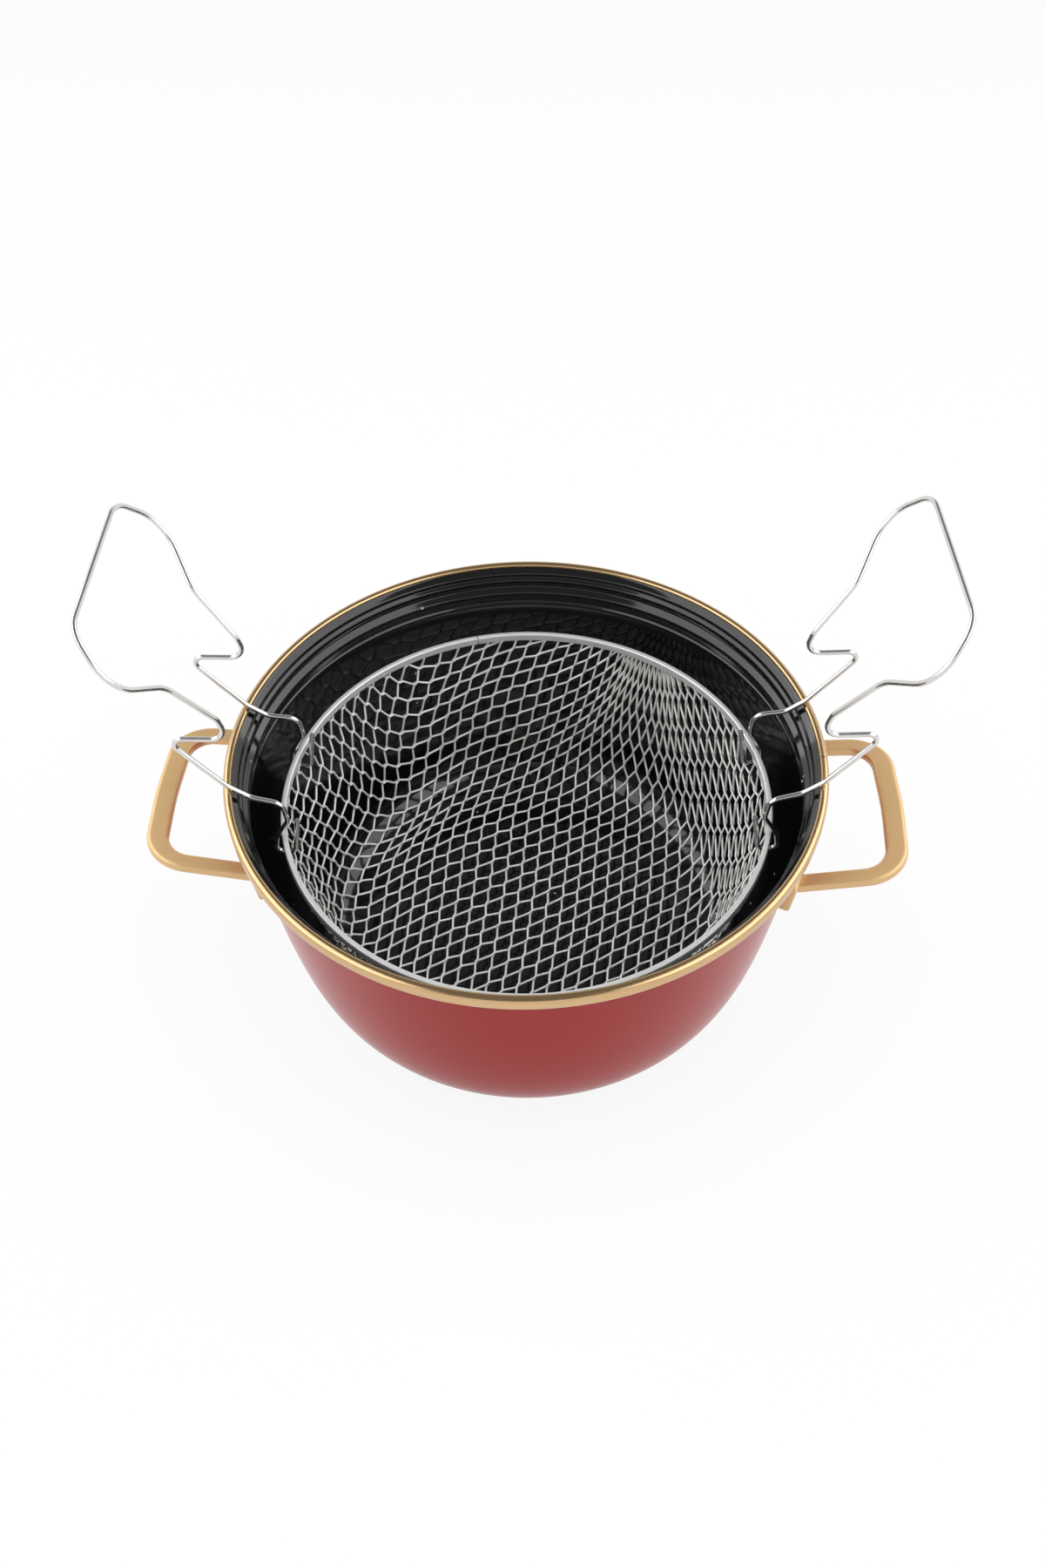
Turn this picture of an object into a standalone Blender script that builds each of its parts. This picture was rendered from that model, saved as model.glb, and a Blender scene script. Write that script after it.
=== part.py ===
"""Enamelled frying pot with two strap handles and a lift-out wire draining basket.

Metres, +Z up. The origin is the middle of the flat base, on the table.
+X points at the right handle, and -Y is the front.
"""

import math

import bmesh
import bpy
from mathutils import Vector

# General clearances and the number of facets round the turned pieces
GAP = 0.0003
TURN_STEPS = 52

# The two driving sizes: the pot's height, and the radius over the rim band
POT_HEIGHT = 0.122
RIM_RADIUS = 0.125

# Pot body: a pressed steel bowl, its outer side a cubic curve from the flat base to the neck
BASE_INSET = 0.059
BASE_PULL = 0.042
NECK_INSET = 0.0050
NECK_DROP = 0.0065
WALL_PULL_HEIGHT = 0.0219
WALL_LEAN = 0.0133
WALL = 0.0012
WALL_STEPS = 10

# Two rounded beads pressed round the inside of the neck, measured down from the rim
UPPER_BEAD_DROP = 0.0107
LOWER_BEAD_DROP = 0.0199
BEAD_HEIGHT = 0.0007
BEAD_HALF_WIDTH = 0.0024

# Rim band: a thin metal strip rolled over the rim of the body
BAND_WIDTH = 0.0036
BAND_HEIGHT = 0.0058
BAND_SHEET = 0.0007
BAND_ROUND = 0.0011

# Side handles: a flat-topped bar bent into a loop, on two pressed feet
HANDLE_STAND_OUT = 0.0315
HANDLE_HALF_SPREAD = 0.0385
HANDLE_TAPER_IN = 0.0020
HANDLE_CORNER = 0.0150
HANDLE_BOW = 0.0016
HANDLE_ROOT_DROP = 0.0360
HANDLE_RISE = 0.0050
ARM_WIDTH = 0.0070
GRIP_BAR_WIDTH = 0.0092
BAR_THICKNESS = 0.0050
BAR_SIDES = 10
FOOT_HALF_ANGLE = math.radians(5.3)
FOOT_HALF_HEIGHT = 0.0076
FOOT_DEPTH = 0.0045
FOOT_CHAMFER = 0.0016
FOOT_STEPS = 6

# Basket hoop: an inverted channel that grips the edge of the net
HOOP_INSET = 0.0202
HOOP_WIDTH = 0.0024
HOOP_DROP = 0.0270
HOOP_HEIGHT = 0.0035
HOOP_SHEET = 0.0005

# Basket net: a bowl of diamond mesh, hung from a bound edge inside the hoop
NET_COLUMNS = 26
NET_ROWS = 11
NET_GROWTH_SHARE = 0.22
NET_FLOOR_HEIGHT = 0.0210
NET_FLOOR_INSET = 0.0208
NET_FLOOR_SAG = 0.0020
NET_FLOOR_BEND = 0.0180
NET_STRAND = 0.0018
NET_THICKNESS = 0.0012
NET_TOP_OVERRUN = 0.0065
NET_EDGE_SHEET = 0.0008
NET_EDGE_TAIL = 0.0012
HOOP_STEPS = 2 * NET_COLUMNS

# Basket handles: one springy wire each, hooked round the hoop at both ends.
# The basket stands turned a little in the pot, and both handles have slid a little to the back.
BASKET_TURN = math.radians(1.97)
BASKET_HANDLE_TURN = math.radians(1.58)
WIRE = 0.0022
WIRE_SIDES = 8
WIRE_BEND_STEP = math.radians(32)
HOOK_COLUMNS_FROM_AXIS = 1
HOOK_THROAT_UP = 0.0008
HOOK_OUT = 0.0048
HOOK_IN = 0.0036
HOOK_BOTTOM = 0.0084
HOOK_BEND = 0.0030
TAIL_TIP_IN = 0.0066
TAIL_TIP_UP = 0.0116
NECK_IN = 0.0026
NECK_UP = 0.0108
NECK_BEND = 0.0045
LEG_DRAW_IN = 0.0010
LEG_SHOULDER_IN = 0.0016
LEG_SHOULDER_DROP = 0.0072
LEG_SHOULDER_BEND = 0.0060
LEG_REST_SHARE = 0.7
LEG_DIP_SPAN = 0.0085
LEG_DIP = 0.0062
LEG_BEND = 0.0100
SHELF_OUT = 0.0164
SHELF_IN = 0.0094
SHELF_RISE = 0.0290
SHELF_OUTER_BEND = 0.0036
SHELF_INNER_BEND = 0.0055
GRIP_ROOT_IN = 0.0064
GRIP_ROOT_RISE = 0.0402
GRIP_ROOT_BEND = 0.0100
GRIP_SLOPE = math.radians(54.7)
GRIP_WAIST_LENGTH = 0.0265
GRIP_WAIST = 0.0287
GRIP_WAIST_BEND = 0.0140
GRIP_SHOULDER_LENGTH = 0.0480
GRIP_SHOULDER = 0.0497
GRIP_SHOULDER_BEND = 0.0170
GRIP_LENGTH = 0.0704
GRIP_END = 0.0369
GRIP_END_BEND = 0.0120

# Sizes that follow from the ones above
BASE_RADIUS = RIM_RADIUS - BASE_INSET
NECK_RADIUS = RIM_RADIUS - NECK_INSET
HANDLE_REACH = RIM_RADIUS + HANDLE_STAND_OUT
HOOP_RADIUS = RIM_RADIUS - HOOP_INSET
HOOP_MIDDLE = HOOP_RADIUS - HOOP_WIDTH / 2
HOOP_TOP = POT_HEIGHT - HOOP_DROP
NET_FLOOR_RADIUS = HOOP_RADIUS - NET_FLOOR_INSET
NET_FLOOR = NET_FLOOR_HEIGHT - HOOP_TOP
HINGE_HEIGHT = HOOP_TOP - HOOP_HEIGHT / 2
HOOK_ANGLE = HOOK_COLUMNS_FROM_AXIS * math.tau / NET_COLUMNS
HOOK_SPREAD = HOOP_MIDDLE * math.sin(HOOK_ANGLE)
HINGE_REACH = HOOP_MIDDLE * math.cos(HOOK_ANGLE)
HOOP_CORNER = math.hypot(HOOP_WIDTH / 2 - HOOP_SHEET, HOOP_HEIGHT / 2)
HOOK_THROAT = HOOP_CORNER + GAP + WIRE / 2
LEG_HALF_SPREAD = HOOK_SPREAD - LEG_DRAW_IN
LEG_REST_RADIUS = RIM_RADIUS - BAND_WIDTH * LEG_REST_SHARE
SHELF_OUTER = RIM_RADIUS + SHELF_OUT
SHELF_INNER = RIM_RADIUS - SHELF_IN
GRIP_ROOT = RIM_RADIUS - GRIP_ROOT_IN


def clear_scene():
    for old in list(bpy.data.objects):
        bpy.data.objects.remove(old, do_unlink=True)


def material(name, colour, roughness, metallic):
    made = bpy.data.materials.new(name)
    made.use_nodes = True
    shader = made.node_tree.nodes["Principled BSDF"]
    shader.inputs["Base Color"].default_value = (*colour, 1.0)
    shader.inputs["Roughness"].default_value = roughness
    shader.inputs["Metallic"].default_value = metallic
    made.diffuse_color = (*colour, 1.0)
    return made


def finish(name, bm, look, parent):
    """Turns a bmesh in its parent's frame into a named object with a smooth surface."""
    bmesh.ops.recalc_face_normals(bm, faces=bm.faces)
    mesh = bpy.data.meshes.new(name)
    bm.to_mesh(mesh)
    bm.free()
    mesh.shade_smooth()
    mesh.set_sharp_from_angle(angle=math.radians(35))
    mesh.materials.append(look)
    made = bpy.data.objects.new(name, mesh)
    bpy.context.scene.collection.objects.link(made)
    made.parent = parent
    return made


def pivot(name, origin, turn, parent=None):
    """An empty at a point of its parent's frame, turned about Z."""
    made = bpy.data.objects.new(name, None)
    bpy.context.scene.collection.objects.link(made)
    made.location = origin
    made.rotation_euler.z = turn
    made.parent = parent
    return made


def turned(outline, steps, closed):
    """Spins an outline of (radius, height) points round Z into a closed solid."""
    bm = bmesh.new()
    points = [bm.verts.new((radius, 0, height)) for radius, height in outline]
    edges = [bm.edges.new(pair) for pair in zip(points, points[1:])]
    if closed:
        edges.append(bm.edges.new((points[-1], points[0])))
    bmesh.ops.spin(bm, geom=points + edges, axis=(0, 0, 1), cent=(0, 0, 0), steps=steps, angle=math.tau)
    bmesh.ops.remove_doubles(bm, verts=bm.verts, dist=WALL / steps)
    return bm


def bent_path(corners, bend_step):
    """A line through the corners, each given as (point, bend radius), with every bend an arc."""
    path = [Vector(corners[0][0])]
    for index in range(1, len(corners) - 1):
        before = Vector(corners[index - 1][0])
        corner = Vector(corners[index][0])
        after = Vector(corners[index + 1][0])
        radius = corners[index][1]
        toward = (before - corner).normalized()
        away = (after - corner).normalized()
        turn = math.pi - toward.angle(away)
        reach = radius * math.tan(turn / 2)
        middle = (toward + away).normalized()
        centre = corner + middle * (radius / math.cos(turn / 2))
        start = corner + toward * reach - centre
        end = corner + away * reach - centre
        steps = max(2, math.ceil(turn / bend_step))
        for step in range(steps + 1):
            done = turn * step / steps
            arm = (start * math.sin(turn - done) + end * math.sin(done)) / math.sin(turn)
            path.append(centre + arm)
    path.append(Vector(corners[-1][0]))
    return path


def sweep(path, sides, half_width, half_height, up=None):
    """Sweeps an oval along a path. Without an up direction the section rolls freely, as wire does."""
    bm = bmesh.new()
    rings = []
    side = None
    for index, point in enumerate(path):
        ahead = path[min(index + 1, len(path) - 1)] - path[max(index - 1, 0)]
        along = ahead.normalized()
        if up is not None:
            side = along.cross(up).normalized()
        elif side is None:
            side = along.orthogonal().normalized()
        else:
            side = (side - along * side.dot(along)).normalized()
        rise = side.cross(along)
        ring = []
        for step in range(sides):
            angle = math.tau * (step + 1 / 2) / sides
            offset = side * (half_width(point) * math.cos(angle)) + rise * (half_height(point) * math.sin(angle))
            ring.append(bm.verts.new(point + offset))
        rings.append(ring)
    for first, second in zip(rings, rings[1:]):
        for step in range(sides):
            follow = (step + 1) % sides
            bm.faces.new((first[step], first[follow], second[follow], second[step]))
    bm.faces.new(rings[0])
    bm.faces.new(rings[-1])
    return bm, rings


def body_curve(share):
    """A point (radius, height) on the outer side of the body, from the base up to the neck."""
    base = Vector((BASE_RADIUS, 0))
    base_pull = Vector((BASE_RADIUS + BASE_PULL, 0))
    neck = Vector((NECK_RADIUS, POT_HEIGHT - NECK_DROP))
    neck_pull = Vector((NECK_RADIUS - WALL_LEAN, WALL_PULL_HEIGHT))
    rest = 1 - share
    return base * rest**3 + base_pull * (3 * rest**2 * share) + neck_pull * (3 * rest * share**2) + neck * share**3


def body_inside(share):
    """The point on the inner side, one wall thickness in from body_curve."""
    nudge = 1 / (WALL_STEPS * WALL_STEPS)
    along = body_curve(min(share + nudge, 1)) - body_curve(max(share - nudge, 0))
    inward = Vector((-along.y, along.x)).normalized()
    return body_curve(share) + inward * WALL


def body_radius(height, curve):
    """The radius of a side of the body at a height, found by halving."""
    low = 0
    high = 1
    for _ in range(TURN_STEPS):
        middle = (low + high) / 2
        if curve(middle).y < height:
            low = middle
        else:
            high = middle
    return curve(low).x


def rim_lip():
    """The body's own rim, rolled outward to sit inside the band."""
    top = POT_HEIGHT - BAND_SHEET - GAP
    outer = RIM_RADIUS - BAND_SHEET - GAP
    inner = RIM_RADIUS - BAND_WIDTH
    foot = POT_HEIGHT - BAND_HEIGHT + BAND_SHEET + GAP
    under_edge = top - BAND_SHEET - 2 * GAP
    return [
        (outer - WALL, foot),
        (outer, foot + WALL),
        (outer, top - WALL),
        (outer - WALL / 2, top - GAP),
        (inner + WALL, top - GAP),
        (inner + GAP, under_edge),
        (inner - WALL / 2, under_edge),
        (inner - 2 * WALL, under_edge - WALL),
    ]


def neck_beads():
    """The inner side of the neck, from the lip down past both beads."""
    points = []
    for drop in (UPPER_BEAD_DROP, LOWER_BEAD_DROP):
        for side, height in ((-1, 0), (0, BEAD_HEIGHT), (1, 0)):
            level = POT_HEIGHT - drop - side * BEAD_HALF_WIDTH
            points.append((body_radius(level, body_inside) - height, level))
    return points


def make_pot_body(look, parent):
    outer = [tuple(body_curve(step / WALL_STEPS)) for step in range(WALL_STEPS + 1)]
    beads = neck_beads()
    lowest_bead = beads[-1][1]
    inner = [tuple(body_inside(step / WALL_STEPS)) for step in range(WALL_STEPS, -1, -1)]
    inner = [point for point in inner if point[1] < lowest_bead - BEAD_HALF_WIDTH]
    outline = [(0, 0)] + outer + rim_lip() + beads + inner + [(0, WALL)]
    return finish("pot_body", turned(outline, TURN_STEPS, False), look, parent)


def make_rim_band(look, parent):
    top = POT_HEIGHT
    foot = POT_HEIGHT - BAND_HEIGHT
    outer = RIM_RADIUS
    inner = RIM_RADIUS - BAND_WIDTH
    outline = [
        (inner, top - BAND_ROUND - BAND_SHEET / 2),
        (inner, top - BAND_SHEET),
        (inner + BAND_ROUND, top),
        (outer - BAND_ROUND, top),
        (outer, top - BAND_ROUND),
        (outer, foot + BAND_SHEET),
        (outer - BAND_SHEET, foot),
        (outer - BAND_ROUND, foot),
        (outer - BAND_ROUND, foot + BAND_SHEET / 2),
        (outer - BAND_SHEET, foot + BAND_SHEET),
        (outer - BAND_SHEET, top - BAND_ROUND),
        (outer - BAND_ROUND, top - BAND_SHEET),
        (inner + BAND_ROUND, top - BAND_SHEET),
        (inner + BAND_SHEET, top - BAND_ROUND - BAND_SHEET / 2),
    ]
    return finish("rim_band", turned(outline, TURN_STEPS, True), look, parent)


def foot_face(height, stand_off):
    return body_radius(height, body_curve) + GAP + stand_off


def foot_angle():
    seat = foot_face(POT_HEIGHT - HANDLE_ROOT_DROP, FOOT_DEPTH)
    return math.asin(HANDLE_HALF_SPREAD / seat)


def make_foot(name, side, end, look, parent):
    """A pressed foot that follows the wall, with its outer face drawn in on all sides."""
    middle = foot_angle() * end if side > 0 else math.pi - foot_angle() * end
    centre = POT_HEIGHT - HANDLE_ROOT_DROP
    bm = bmesh.new()
    rings = []
    for step in range(FOOT_STEPS + 1):
        share = 2 * step / FOOT_STEPS - 1
        ring = []
        for stand_off, inset in ((0, 0), (FOOT_DEPTH, FOOT_CHAMFER)):
            half_angle = FOOT_HALF_ANGLE - inset / NECK_RADIUS
            angle = middle + share * half_angle
            levels = (FOOT_HALF_HEIGHT - inset, inset - FOOT_HALF_HEIGHT)
            for level in levels if inset else reversed(levels):
                radius = foot_face(centre + level, stand_off)
                ring.append(bm.verts.new((radius * math.cos(angle), radius * math.sin(angle), centre + level)))
        rings.append(ring)
    for first, second in zip(rings, rings[1:]):
        for corner in range(len(first)):
            follow = (corner + 1) % len(first)
            bm.faces.new((first[corner], first[follow], second[follow], second[corner]))
    bm.faces.new(rings[0])
    bm.faces.new(rings[-1])
    return finish(name, bm, look, parent)


def side_handle_path(side):
    """The middle line of a loop, from one foot round to the other, in the right handle's terms."""
    root = foot_face(POT_HEIGHT - HANDLE_ROOT_DROP, FOOT_DEPTH)
    start = math.sqrt(root**2 - HANDLE_HALF_SPREAD**2)
    wide = HANDLE_HALF_SPREAD
    narrow = HANDLE_HALF_SPREAD - HANDLE_TAPER_IN
    outer = HANDLE_REACH - HANDLE_BOW
    corners = []
    for reach, spread, bend in (
        (start, wide, 0),
        (outer, narrow, HANDLE_CORNER),
        (HANDLE_REACH, 0, HANDLE_REACH),
        (outer, -narrow, HANDLE_CORNER),
        (start, -wide, 0),
    ):
        rise = HANDLE_RISE * (reach - start) / (outer - start)
        height = POT_HEIGHT - HANDLE_ROOT_DROP + rise
        corners.append(((side * reach, side * spread, height), bend))
    return bent_path(corners, math.radians(18))


def bar_half_width(point):
    """Half the width of the bar: narrow on the arms, wide on the grip."""
    share = (abs(point.x) - HANDLE_REACH + 2 * HANDLE_CORNER) / HANDLE_CORNER
    share = min(max(share, 0), 1)
    return (ARM_WIDTH + (GRIP_BAR_WIDTH - ARM_WIDTH) * share) / 2


def seat_on_foot(ring, side):
    """Slides the end of an arm along X until it follows its foot."""
    for corner in ring:
        radius = foot_face(corner.co.z, FOOT_DEPTH) + GAP
        corner.co.x = side * math.sqrt(radius**2 - corner.co.y**2)


def make_side_handle(name, side, look, parent):
    path = side_handle_path(side)
    bm, rings = sweep(path, BAR_SIDES, bar_half_width, lambda point: BAR_THICKNESS / 2, Vector((0, 0, 1)))
    seat_on_foot(rings[0], side)
    seat_on_foot(rings[-1], side)
    return finish(name, bm, look, parent)


def make_hoop(look, parent):
    """The channel: a flat top with two thin flanges that reach down either side of the net's edge."""
    outer = HOOP_RADIUS
    inner = HOOP_RADIUS - HOOP_WIDTH
    foot = -HOOP_HEIGHT
    outline = [
        (inner, foot),
        (inner, -HOOP_SHEET),
        (inner + HOOP_SHEET, 0),
        (outer - HOOP_SHEET, 0),
        (outer, -HOOP_SHEET),
        (outer, foot),
        (outer - HOOP_SHEET, foot),
        (outer - HOOP_SHEET, -HOOP_SHEET),
        (inner + HOOP_SHEET, -HOOP_SHEET),
        (inner + HOOP_SHEET, foot),
    ]
    return finish("basket_hoop", turned(outline, HOOP_STEPS, True), look, parent)


def net_profile():
    """The net's section from above the hoop down the wall and in to the middle of the floor."""
    wall_foot = Vector((NET_FLOOR_RADIUS, 0, NET_FLOOR))
    wall_top = Vector((HOOP_MIDDLE, 0, -HOOP_HEIGHT - NET_EDGE_TAIL))
    lean = (wall_top - wall_foot).normalized()
    top = wall_top + lean * NET_TOP_OVERRUN
    middle = Vector((0, 0, NET_FLOOR - NET_FLOOR_SAG))
    return bent_path([(top, 0), (wall_foot, NET_FLOOR_BEND), (middle, 0)], math.radians(6))


def along(path, distance):
    for first, second in zip(path, path[1:]):
        span = (second - first).length
        if distance <= span:
            return first.lerp(second, distance / span)
        distance -= span
    return path[-1]


def make_net_edge():
    """The bound edge of the net that the hoop grips. It joins the net below the hoop."""
    outer = HOOP_MIDDLE + NET_EDGE_SHEET / 2
    inner = HOOP_MIDDLE - NET_EDGE_SHEET / 2
    top = -HOOP_SHEET - GAP
    foot = -HOOP_HEIGHT - NET_EDGE_TAIL
    outline = [(inner, foot), (inner, top), (outer, top), (outer, foot)]
    return turned(outline, HOOP_STEPS, True)


def make_net_sheet():
    """A thin sheet of diamonds, each one a face with its middle taken out."""
    profile = net_profile()
    length = sum((second - first).length for first, second in zip(profile, profile[1:]))
    bm = bmesh.new()
    rings = []
    for row in range(NET_ROWS):
        share = row / NET_ROWS
        spot = along(profile, length * share * (1 - NET_GROWTH_SHARE * (1 - share)))
        ring = []
        for column in range(NET_COLUMNS):
            angle = math.tau * (column + (row % 2) / 2) / NET_COLUMNS
            ring.append(bm.verts.new((spot.x * math.cos(angle), spot.x * math.sin(angle), spot.z)))
        rings.append(ring)
    middle = bm.verts.new(profile[-1])
    rings.append([middle] * NET_COLUMNS)
    diamonds = []
    for row in range(NET_ROWS - 1):
        shift = row % 2
        for column in range(NET_COLUMNS):
            top = rings[row][column]
            left = rings[row + 1][(column - 1 + shift) % NET_COLUMNS]
            right = rings[row + 1][(column + shift) % NET_COLUMNS]
            foot = rings[row + 2][column]
            diamonds.append(bm.faces.new((top, left, foot, right)))
    for column in range(NET_COLUMNS):
        follow = (column + 1) % NET_COLUMNS
        diamonds.append(bm.faces.new((rings[0][column], rings[1][column], rings[0][follow])))
    bmesh.ops.recalc_face_normals(bm, faces=bm.faces)
    bmesh.ops.inset_individual(bm, faces=diamonds, thickness=NET_STRAND / 2, use_even_offset=True)
    bmesh.ops.delete(bm, geom=diamonds, context="FACES_ONLY")
    return bm


def as_cutter(made):
    made.hide_render = True
    made.display_type = "WIRE"
    return made


def make_net(look, parent):
    """The diamonds given their thickness, trimmed under the hoop and joined to the bound edge."""
    net = finish("basket_net", make_net_sheet(), look, parent)
    solid = net.modifiers.new("strand thickness", "SOLIDIFY")
    solid.thickness = NET_THICKNESS
    solid.offset = 0
    trim_foot = -HOOP_HEIGHT - NET_EDGE_TAIL / 2
    trim_outline = [(0, trim_foot), (RIM_RADIUS, trim_foot), (RIM_RADIUS, HOOP_HEIGHT), (0, HOOP_HEIGHT)]
    trimmer = as_cutter(finish("net_trimmer", turned(trim_outline, NET_COLUMNS, False), look, parent))
    trim = net.modifiers.new("trim under the hoop", "BOOLEAN")
    trim.operation = "DIFFERENCE"
    trim.object = trimmer
    edge = as_cutter(finish("net_bound_edge", make_net_edge(), look, parent))
    join = net.modifiers.new("bound edge", "BOOLEAN")
    join.operation = "UNION"
    join.object = edge
    return net


def hook_corners():
    """The hook at the end of a leg, from the cut tip inside the basket round under the hoop and up.

    The wire hugs the outer edge of the hoop at the throat, and clears the hoop as the handle swings.
    """
    y = HOOK_SPREAD
    return [
        ((-TAIL_TIP_IN, y, TAIL_TIP_UP), 0),
        ((-HOOK_IN, y, -HOOK_BOTTOM), HOOK_BEND),
        ((HOOK_OUT, y, -HOOK_BOTTOM), HOOK_BEND),
        ((HOOK_THROAT, y, HOOK_THROAT_UP), HOOK_BEND),
        ((-NECK_IN, y, NECK_UP), NECK_BEND),
    ]


def leg_corners():
    """The leg, from above the hoop out over the rim and up to the drain shelf."""
    rim_top = POT_HEIGHT - HINGE_HEIGHT
    shoulder = rim_top - LEG_SHOULDER_DROP
    rest_height = rim_top + GAP + WIRE / 2
    rest_reach = math.sqrt(LEG_REST_RADIUS**2 - LEG_HALF_SPREAD**2) - HINGE_REACH
    return [
        ((-LEG_SHOULDER_IN, HOOK_SPREAD, shoulder), LEG_SHOULDER_BEND),
        ((rest_reach - LEG_DIP_SPAN, LEG_HALF_SPREAD, rest_height - LEG_DIP), LEG_BEND),
        ((rest_reach, LEG_HALF_SPREAD, rest_height + GAP), LEG_BEND),
        ((SHELF_OUTER - HINGE_REACH, LEG_HALF_SPREAD, rim_top + SHELF_RISE), SHELF_OUTER_BEND),
        ((SHELF_INNER - HINGE_REACH, LEG_HALF_SPREAD, rim_top + SHELF_RISE), SHELF_INNER_BEND),
    ]


def grip_corners():
    """The spade-shaped grip, up to its end bar."""
    corners = []
    for length, spread, bend in (
        (0, LEG_HALF_SPREAD, GRIP_ROOT_BEND),
        (GRIP_WAIST_LENGTH, GRIP_WAIST, GRIP_WAIST_BEND),
        (GRIP_SHOULDER_LENGTH, GRIP_SHOULDER, GRIP_SHOULDER_BEND),
        (GRIP_LENGTH, GRIP_END, GRIP_END_BEND),
    ):
        reach = GRIP_ROOT - HINGE_REACH + length * math.cos(GRIP_SLOPE)
        height = POT_HEIGHT - HINGE_HEIGHT + GRIP_ROOT_RISE + length * math.sin(GRIP_SLOPE)
        corners.append(((reach, spread, height), bend))
    return corners


def basket_handle_path():
    """The whole wire from hook to hook, with the hinge axis along Y through the origin."""
    half = hook_corners() + leg_corners() + grip_corners()
    mirrored = [((x, -y, z), bend) for (x, y, z), bend in reversed(half)]
    return bent_path(half + mirrored, WIRE_BEND_STEP)


def make_basket_handle(name, turn, look, basket):
    """Hangs one wire handle on the hoop, at a turn from the basket's X axis."""
    middle = HINGE_HEIGHT - HOOP_TOP
    hinge = pivot(name + "_hinge", (HINGE_REACH * math.cos(turn), HINGE_REACH * math.sin(turn), middle), turn, basket)
    half_wire = WIRE / 2
    bm, _ = sweep(basket_handle_path(), WIRE_SIDES, lambda point: half_wire, lambda point: half_wire)
    return finish(name, bm, look, hinge)


def build():
    clear_scene()
    red = material("red enamel", (0.42, 0.06, 0.05), 0.18, 0.0)
    gold = material("gold plated steel", (0.66, 0.43, 0.20), 0.30, 1.0)
    chrome = material("chrome wire", (0.75, 0.75, 0.75), 0.15, 1.0)
    pot = pivot("pot", (0, 0, 0), 0)
    basket = pivot("basket", (0, 0, HOOP_TOP), BASKET_TURN, pot)
    make_pot_body(red, pot)
    make_rim_band(gold, pot)
    for side, word in ((-1, "left"), (1, "right")):
        make_side_handle(word + "_side_handle", side, gold, pot)
        for end, end_word in ((-1, "front"), (1, "back")):
            make_foot(word + "_" + end_word + "_handle_foot", side, end, gold, pot)
    make_hoop(chrome, basket)
    make_net(chrome, basket)
    make_basket_handle("left_basket_handle", math.pi - BASKET_HANDLE_TURN, chrome, basket)
    make_basket_handle("right_basket_handle", BASKET_HANDLE_TURN, chrome, basket)


build()
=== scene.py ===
import math

import bpy
import numpy as np
from mathutils import Matrix, Vector


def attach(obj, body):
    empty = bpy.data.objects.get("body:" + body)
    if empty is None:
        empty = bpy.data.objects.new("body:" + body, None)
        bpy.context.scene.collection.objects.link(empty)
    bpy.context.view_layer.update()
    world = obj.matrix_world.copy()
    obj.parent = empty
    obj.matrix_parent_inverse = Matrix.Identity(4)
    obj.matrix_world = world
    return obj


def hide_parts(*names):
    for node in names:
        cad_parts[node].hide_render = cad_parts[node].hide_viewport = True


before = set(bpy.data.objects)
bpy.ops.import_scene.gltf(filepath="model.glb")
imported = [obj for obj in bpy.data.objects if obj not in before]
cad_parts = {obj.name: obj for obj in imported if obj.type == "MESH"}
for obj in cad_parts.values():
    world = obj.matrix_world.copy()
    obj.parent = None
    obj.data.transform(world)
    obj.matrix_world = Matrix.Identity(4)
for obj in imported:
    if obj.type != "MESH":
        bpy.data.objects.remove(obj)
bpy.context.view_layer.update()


# Pot body. One pressed steel bowl with a flat base, enamelled red outside and black inside.
# Two beads and a thin ridge run round inside its neck, and its rim is curled out to take the band.
POT_HEIGHT = 0.122
STEEL = 0.0012
WALL_CURVE = ((0.066, 0.0), (0.108, 0.0), (0.1067, 0.0219), (0.120, 0.1155))
WALL_STEPS = 44
INSIDE_STEPS = 60
TURN_STEPS = 160
CURL = (
    (0.1206, 0.11625), (0.1214, 0.11685), (0.1222, 0.1171), (0.1231, 0.1172), (0.1237, 0.1176),
    (0.1239, 0.1184), (0.1239, 0.1200), (0.1236, 0.1206), (0.1229, 0.1209), (0.1223, 0.1208),
    (0.1219, 0.1202),
)
CURL_FOOT = 0.1168
NECK = (
    ((0.1211, 0.1194), 0), ((0.11935, 0.1180), 0.0012), ((0.1191, 0.1163), 0.0006),
    ((0.1176, 0.1149), 0.0010), ((0.1186, 0.1131), 0.0014), ((0.1186, 0.1112), 0.0010),
    ((0.1158, 0.1086), 0.0012), ((0.1176, 0.1063), 0.0016), ((0.1172, 0.1034), 0.0010),
    ((0.1164, 0.1025), 0.0006), ((0.1169, 0.1016), 0.0010), ((0.11665, 0.1000), 0),
)
RED = (0.370, 0.0045, 0.0022)
RED_DEEP = (0.325, 0.0036, 0.0016)
BLACK = (0.0042, 0.0042, 0.0046)
BLACK_DEEP = (0.0028, 0.0028, 0.0031)
# The grey of the specks on the black enamel is a painted highlight: pinpoint glints, not flecks in the coat.
PAINTED_GLINT = (0.35, 0.35, 0.34)


def start_mesh(name):
    """One loose vertex at the origin, left in edit mode for a profile to be drawn from it."""
    bpy.ops.object.select_all(action="DESELECT")
    bpy.ops.mesh.primitive_plane_add(size=0.01)
    bpy.context.object.name = name
    bpy.context.object.data.name = name
    bpy.ops.object.mode_set(mode="EDIT")
    bpy.ops.mesh.merge(type="CENTER")
    return bpy.context.object


def draw_line(points):
    """Moves the loose vertex to the first point and extrudes it through the others."""
    bpy.ops.transform.translate(value=points[0])
    for here, there in zip(points, points[1:]):
        step = Vector(there) - Vector(here)
        bpy.ops.mesh.extrude_vertices_move(TRANSFORM_OT_translate={"value": step})


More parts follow.
